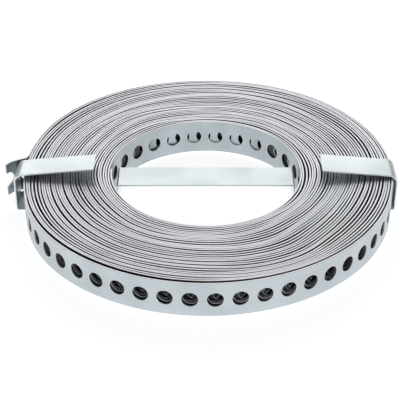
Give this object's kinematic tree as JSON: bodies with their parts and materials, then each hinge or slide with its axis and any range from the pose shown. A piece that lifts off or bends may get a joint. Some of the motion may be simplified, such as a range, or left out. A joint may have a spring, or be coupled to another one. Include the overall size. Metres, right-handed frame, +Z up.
{
  "type": "roll of perforated steel strap",
  "caption": "Roll of galvanised perforated steel strap, wound flat on itself with its outer end bent free, held by a folded steel tie strip across its open middle.",
  "frame": {"origin": "on the floor, under the middle of the whole part as seen from above", "axes": "+Z up along the roll's axis, +X along the tie strip, -Y towards the viewer of the picture"},
  "size_m": [0.1298, 0.123, 0.0163],
  "materials": {
    "strap_steel": "galvanised",
    "tie_steel": "bright galvanised"
  },
  "bodies": {
    "root": {"strap_coil": "strap_steel", "tie_strip": "tie_steel"}
  },
  "joints": []
}
